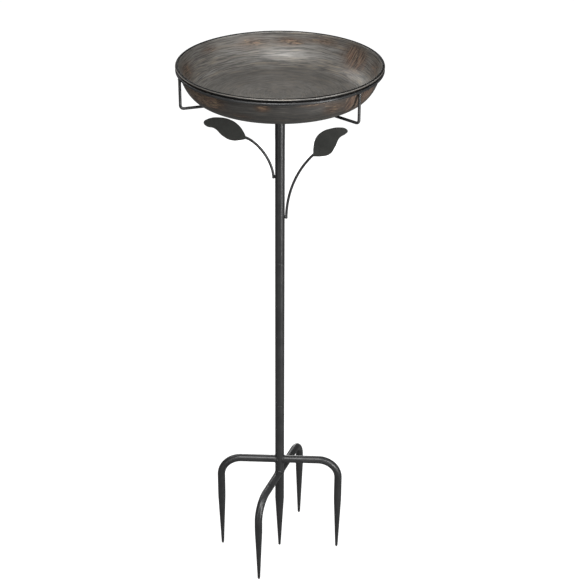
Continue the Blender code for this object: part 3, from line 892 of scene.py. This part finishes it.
def bronze_enamel_material():
    """Dark bronze enamel with hairlines round the dish and two kinds of dry brushing, round it and up it.

    The turn's cosine and sine, times how many strokes fit round, and the distance along the profile, times
    how many fit in a metre, make coordinates that meet without a seam. A lean turns the cosine and sine on
    by radians for each metre of that distance.
    """
    # The inside is painted lighter than the outside, for the light that falls into the dish.
    material, tree, shader = new_material("bronze_enamel")
    where = node(tree, "TexCoord").outputs["Object"]
    spot = node(tree, "SeparateXYZ", {0: where}).outputs
    flat = node(tree, "CombineXYZ", {0: spot[0], 1: spot[1]}).outputs[0]
    facing = node(tree, "VectorMath", {0: flat}, operation="NORMALIZE").outputs[0]
    distance = stored(tree, "arc")
    wander = math_node(tree, "MULTIPLY_ADD", noise(tree, where, WANDERS, 2.0), WANDER, distance)

    def along_strokes(per_turn, per_metre, lean):
        angle = math_node(tree, "MULTIPLY", distance, lean)
        inputs = {"Vector": facing, "Angle": angle}
        leaning = node(tree, "VectorRotate", inputs, rotation_type="Z_AXIS").outputs[0]
        inputs = {0: leaning, "Scale": per_turn}
        round_part = node(tree, "VectorMath", inputs, operation="SCALE").outputs[0]
        up_part = node(tree, "CombineXYZ", {2: math_node(tree, "MULTIPLY", wander, per_metre)}).outputs[0]
        return node(tree, "VectorMath", {0: round_part, 1: up_part}, operation="ADD").outputs[0]

    def brush(label, fit):
        inputs = {"Vector": along_strokes(*fit), "Cover": stored(tree, label)}
        return node(tree, "Group", inputs, node_tree=brush_stroke).outputs

    around = brush("round_brushing", ROUND_STROKES)
    upright = brush("upright_brushing", UPRIGHT_STROKES)
    rub = stored(tree, "rub")
    inputs = {"Peel": ENAMEL_PEEL, "Patches": ENAMEL_PATCHES, "Rub": rub}
    film = node(tree, "Group", inputs, node_tree=powder_film).outputs
    grain = stored(tree, "grain")
    grime = stored(tree, "grime")
    lining = stored(tree, "lining")
    hair_place = along_strokes(*HAIRLINES)
    hair = noise(tree, hair_place, 1.0, 3.0, 0.6)
    band = ramp(tree, noise(tree, hair_place, 0.23, 2.0), 0.40, 0.60)
    pale_hair = math_node(tree, "MULTIPLY", ramp(tree, hair, 0.46, 0.66), grain)
    dark_hair = math_node(tree, "MULTIPLY", ramp(tree, hair, 0.50, 0.34), grain)
    gap = math_node(tree, "MAXIMUM", around["Gap"], upright["Gap"])

    deep = blend(tree, lining, OUTSIDE_DEEP, INSIDE_DEEP)
    pale = blend(tree, lining, OUTSIDE_PALE, INSIDE_PALE)
    colour = blend(tree, film["Cloud"], deep, pale)
    layers = [
        (pale_hair, 0.75, blend(tree, band, HAIR_GREY, HAIR_TAN)),
        (dark_hair, 0.60, HAIR_DARK),
        (around["Glaze"], 0.82, ROUND_WASH),
        (upright["Glaze"], 0.78, UPRIGHT_WASH),
        (gap, 0.75, GAP_DARK),
        (around["Stroke"], 0.92, blend(tree, around["Tone"], COPPER, TAN)),
        (upright["Stroke"], 0.92, blend(tree, upright["Tone"], ROSE, SAND)),
        # the bead's rubbed line, also a painted highlight
        (rub, 0.75, RUBBED_AND_HIGHLIGHT),
        (film["Worn"], 1.0, WORN),
        # painted shade on the bead
        (grime, 1.0, PAINTED_SHADE_BLACK),
    ]
    for mask, strength, tint in layers:
        colour = blend(tree, math_node(tree, "MULTIPLY", mask, strength), colour, tint)

    paint = math_node(tree, "MAXIMUM", around["Stroke"], upright["Stroke"])
    gloss = ramp(tree, film["Cloud"], 0.0, 1.0, 0.38, 0.50)
    # The bead's painted shade is rougher and more metallic, so that it stays dark.
    for mask, change in ((paint, -0.06), (grime, 0.20), (dark_hair, 0.10)):
        gloss = math_node(tree, "MULTIPLY_ADD", mask, change, gloss)
    metal = math_node(tree, "MULTIPLY_ADD", paint, 0.35, 0.30)
    metal = math_node(tree, "MULTIPLY_ADD", grime, 0.70, metal)
    height = film["Height"]
    for mask, change in ((paint, 0.5), (gap, -0.3), (pale_hair, 0.35)):
        height = math_node(tree, "MULTIPLY_ADD", mask, change, height)
    bump = node(tree, "Bump", {"Height": height, "Distance": ENAMEL_RELIEF})
    surface = {"Base Color": colour, "Roughness": gloss, "Metallic": metal, "Normal": bump.outputs["Normal"]}
    connect(tree, shader, surface)
    return material


BEAD_WEAR_HIGHLIGHT_TURN = 28.0  # degrees round the bead's section, from outwards up, of its line of wear, which is also a painted highlight
BEAD_WEAR_HIGHLIGHT_WIDTH = 14.0
BEAD_WEAR_AND_HIGHLIGHT = 0.45
PAINTED_SHADE_TURNS = ((-200.0, 8.0), (52.0, 135.0))  # where shade is painted on the bead: round its underside and across its top inner side
BEAD_PAINTED_SHADE = 0.92
NO_BEAD = -720.0  # the turn of a row that isn't on the bead
OUTSIDE_GRAIN = 0.24
FLOOR_GRAIN = 0.42
WALL_GRAIN = 0.53  # more than on the floor
WALL_FOOT = 0.12  # share of the height over which the wall's grain comes in

brush_stroke = brush_stroke_group()
bead_turn = np.full(len(dish_profile), NO_BEAD)
bead_turn[bead_start:bead_start + len(bead) - 1] = np.degrees(roll[:-1])
# Painted shade on the bead: its underside and its top inner side are painted near black.
shaded_bead_rows = sum((bead_turn > first) & (bead_turn < last) for first, last in PAINTED_SHADE_TURNS)
inside_grain = FLOOR_GRAIN + WALL_GRAIN * np.clip(share_up / WALL_FOOT, 0.0, 1.0)
skin(
    "dish_shell", dish_grid, "dish", "brushed_bronze_enamel", bronze_enamel_material(), ["bowl"],
    # a rubbed line on the bead that is also a painted highlight
    rub=BEAD_WEAR_AND_HIGHLIGHT * np.exp(-(((bead_turn - BEAD_WEAR_HIGHLIGHT_TURN) / BEAD_WEAR_HIGHLIGHT_WIDTH) ** 2)),
    grime=BEAD_PAINTED_SHADE * shaded_bead_rows,
    grain=np.where(is_outside, OUTSIDE_GRAIN, inside_grain),
    # the inside is painted lighter, for the light falling into the dish
    lining=~is_outside,
    arc=arc,
    round_brushing=brushed("round"),
    upright_brushing=brushed("upright"),
)


# ---- Floor -------------------------------------------------------------------------------------------
# A plain pale studio floor, which can be seen through from below.

FLOOR_HALF = 9.0
FLOOR_GLOW = 0.95
FLOOR_GREY = (0.25, 0.25, 0.25, 1.0)
DULL_GREY = (0.20, 0.20, 0.20, 1.0)
WHITE = (1.0, 1.0, 1.0, 1.0)


def floor_material():
    """Even white to the camera, and dull grey in reflections, so that dark paint keeps its dark edges."""
    material, tree, shader = new_material("pale_floor")
    connect(tree, shader, {
        "Base Color": FLOOR_GREY,
        "Roughness": 0.9,
        "Specular IOR Level": 0.0,
        "Emission Color": WHITE,
        "Emission Strength": FLOOR_GLOW,
    })
    dull = node(tree, "BsdfDiffuse", {"Color": DULL_GREY}).outputs[0]
    seen = node(tree, "LightPath").outputs["Is Camera Ray"]
    face = node(tree, "MixShader", {0: seen, 1: dull, 2: shader.outputs[0]}).outputs[0]
    clear = node(tree, "BsdfTransparent").outputs[0]
    behind = node(tree, "NewGeometry").outputs["Backfacing"]
    mix = node(tree, "MixShader", {0: behind, 1: face, 2: clear}).outputs[0]
    connect(tree, tree.nodes["Material Output"], {"Surface": mix})
    return material


floor_mesh = bpy.data.meshes.new("floor")
corners = [(-1, -1), (1, -1), (1, 1), (-1, 1)]
floor_mesh.from_pydata([(FLOOR_HALF * x, FLOOR_HALF * y, cad_low.z) for x, y in corners], [], [(0, 1, 2, 3)])
floor_mesh.materials.append(floor_material())
floor = bpy.data.objects.new("floor", floor_mesh)
bpy.context.scene.collection.objects.link(floor)


# ---- Lights ------------------------------------------------------------------------------------------
# A tall strip to the right of the camera, a weak one to its left and one straight behind the pole, a
# softbox above the camera and another high behind the dish, in a pale room that is dim in reflections.

ROOM_DIM = 0.16


def softbox(name, place, aim_height, width, height, power):
    """A rectangular light at a place, aimed at a height on the pole's axis."""
    lamp = bpy.data.lights.new(name, "AREA")
    lamp.shape = "RECTANGLE"
    lamp.size = width
    lamp.size_y = height
    lamp.energy = power
    box = bpy.data.objects.new(name, lamp)
    box.location = place
    x, y, z = place
    box.rotation_euler = (math.atan2(math.hypot(x, y), z - aim_height), 0.0, math.atan2(x, -y))
    box.visible_camera = False
    bpy.context.scene.collection.objects.link(box)


softbox("key_strip", (1.02, -0.97, 0.72), 0.50, width=0.28, height=1.44, power=25.0)
softbox("front_light", (-0.25, -1.9, 3.1), 0.90, width=1.5, height=1.0, power=100.0)
softbox("left_strip", (-1.25, -1.75, 0.85), 0.50, width=0.30, height=1.7, power=8.0)
softbox("back_light", (-1.6, 1.7, 2.5), 0.75, width=1.4, height=0.9, power=22.0)
softbox("rear_strip", (-0.10, 1.9, 0.75), 0.50, width=0.6, height=1.5, power=12.0)

world = bpy.data.worlds.new("room")
world.use_nodes = True
room = world.node_tree
dim = room.nodes["Background"]
connect(room, dim, {"Color": WHITE, "Strength": ROOM_DIM})
white = node(room, "Background", {"Color": WHITE, "Strength": 1.0}).outputs[0]
seen = node(room, "LightPath").outputs["Is Camera Ray"]
mix = node(room, "MixShader", {0: seen, 1: dim.outputs[0], 2: white}).outputs[0]
connect(room, room.nodes["World Output"], {"Surface": mix})
bpy.context.scene.world = world
bpy.context.scene.view_settings.view_transform = "Standard"


# ---- Camera ------------------------------------------------------------------------------------------
# From a standing person's eye, looking down on the dish, with the whole pole in view.

CAMERA_PLACE = (0.01295, -2.1113, 1.66395)
CAMERA_DOWN = 28.083  # degrees below level
CAMERA_ROLL = 0.228
FOCAL_LENGTH = 88.07  # in millimetres, as the sensor's width
SENSOR_WIDTH = 36.0

lens = bpy.data.cameras.new("camera")
lens.lens = FOCAL_LENGTH
lens.sensor_width = SENSOR_WIDTH
camera = bpy.data.objects.new("camera", lens)
camera.location = CAMERA_PLACE
camera.rotation_mode = "XYZ"
camera.rotation_euler = (math.radians(90.0 - CAMERA_DOWN), 0.0, 0.0)
camera.rotation_euler.rotate_axis("Z", math.radians(CAMERA_ROLL))
bpy.context.scene.collection.objects.link(camera)
bpy.context.scene.camera = camera
